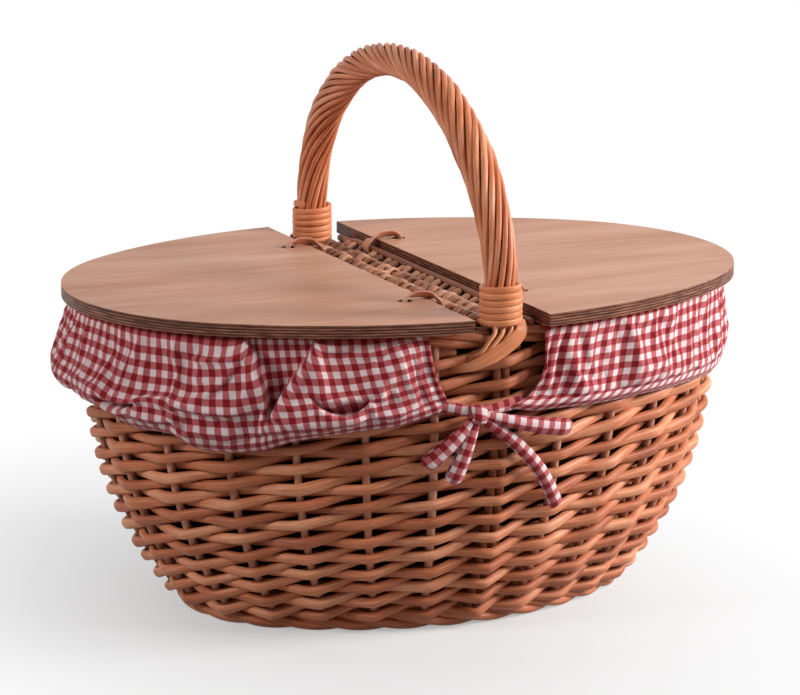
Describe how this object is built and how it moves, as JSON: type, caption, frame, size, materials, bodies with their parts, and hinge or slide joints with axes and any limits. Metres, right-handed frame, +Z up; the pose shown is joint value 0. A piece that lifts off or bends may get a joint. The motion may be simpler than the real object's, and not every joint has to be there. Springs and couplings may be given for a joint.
{
  "type": "picnic basket",
  "caption": "Oval woven willow picnic basket with a fixed bow handle, hinged plywood half lids and a tied gingham cloth liner with a gathered skirt.",
  "frame": {"origin": "middle of the foot on the floor", "axes": "+X along the basket, +Y across it, along the hinge rods, +Z up"},
  "size_m": [0.4064, 0.3064, 0.3185],
  "materials": {
    "willow": "varnished stained willow",
    "skein": "split willow skein",
    "plywood": "satin varnished plywood",
    "gingham": "woven cotton check"
  },
  "bodies": {
    "basket": {"base_sticks": "willow", "base_weave": "willow", "foot_wale": "willow", "side_stakes": "willow", "side_weave": "willow", "rim_border_right": "willow", "rim_border_left": "willow", "handle_bow": "willow", "handle_strands": "willow", "handle_collars": "willow", "handle_lashing_front": "skein", "handle_lashing_back": "skein", "bridge_edge_rods": "willow", "bridge_core_rods": "willow", "bridge_weave": "willow", "liner_bag": "gingham", "liner_rim_right": "gingham", "liner_rim_left": "gingham", "liner_skirt_right": "gingham", "liner_skirt_left": "gingham", "tie_knot_front": "gingham", "tie_knot_back": "gingham", "tie_loops_front": "gingham", "tie_loops_back": "gingham", "tie_tails_front": "gingham", "tie_tails_back": "gingham"},
    "lid_right": {"lid_right": "plywood", "hinge_loop_right_front": "skein", "hinge_loop_right_back": "skein"},
    "lid_left": {"lid_left": "plywood", "hinge_loop_left_front": "skein", "hinge_loop_left_back": "skein"}
  },
  "joints": [
    {"name": "lid_right_hinge", "type": "hinge", "parent": "basket", "child": "lid_right", "pos_m": [0.0186, 0, 0.1845], "axis": [0, -1, 0], "range_deg": [0, 91]},
    {"name": "lid_left_hinge", "type": "hinge", "parent": "basket", "child": "lid_left", "pos_m": [-0.0186, 0, 0.1845], "axis": [0, 1, 0], "range_deg": [0, 91]}
  ]
}
